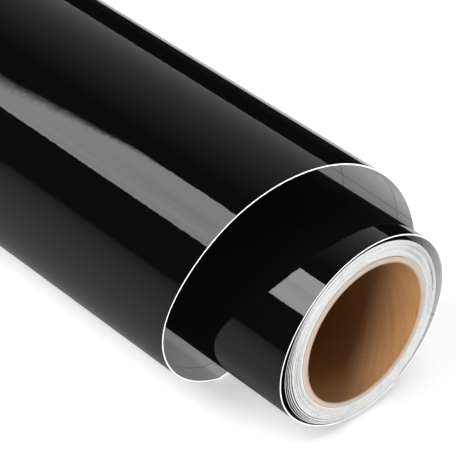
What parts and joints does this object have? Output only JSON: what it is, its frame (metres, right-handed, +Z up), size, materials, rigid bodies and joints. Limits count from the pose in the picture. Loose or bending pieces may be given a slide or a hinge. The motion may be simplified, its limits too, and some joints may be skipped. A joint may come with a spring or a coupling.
{
  "type": "roll of sign vinyl",
  "caption": "Roll of glossy black sign vinyl on a paperboard core, lying on its side, its outer length sprung open into a wide wrap that has slid back along the tight roll.",
  "frame": {"origin": "middle of the bounding box on the surface that the roll lies on", "axes": "+X along the roll's axis towards the end that stands out of the wrap, +Y to the back, where the wrap's two ends lap, +Z up"},
  "size_m": [0.3536, 0.0914, 0.089],
  "materials": {
    "vinyl_film": "high gloss, smooth",
    "release_liner": "satin coated paper, printed with a fine square grid",
    "core_board": "matt cut edge",
    "bore_paper": "matt kraft paper with a spiral seam",
    "core_paper": "matt kraft paper with a spiral seam",
    "start_tape": "translucent double-sided tape"
  },
  "bodies": {
    "outer_wrap": {"outer_wrap_liner": "release_liner", "outer_wrap_film": "vinyl_film"},
    "loose_turn": {"loose_turn_liner": "release_liner", "loose_turn_film": "vinyl_film"},
    "tight_roll": {"core_inner_ply": "bore_paper", "core_wall": "core_board", "core_outer_ply": "core_paper", "start_tape": "start_tape", "pack_liner": "release_liner", "pack_film": "vinyl_film"}
  },
  "joints": [
    {"name": "roll_slide", "type": "slide", "parent": "outer_wrap", "child": "loose_turn", "axis": [1, 0, 0], "range_m": [-0.012, 0.06]},
    {"name": "roll_spin", "type": "hinge", "parent": "loose_turn", "child": "tight_roll", "pos_m": [0.17616, 0.00668, 0.03543], "axis": [1, 0, 0], "continuous": true}
  ]
}
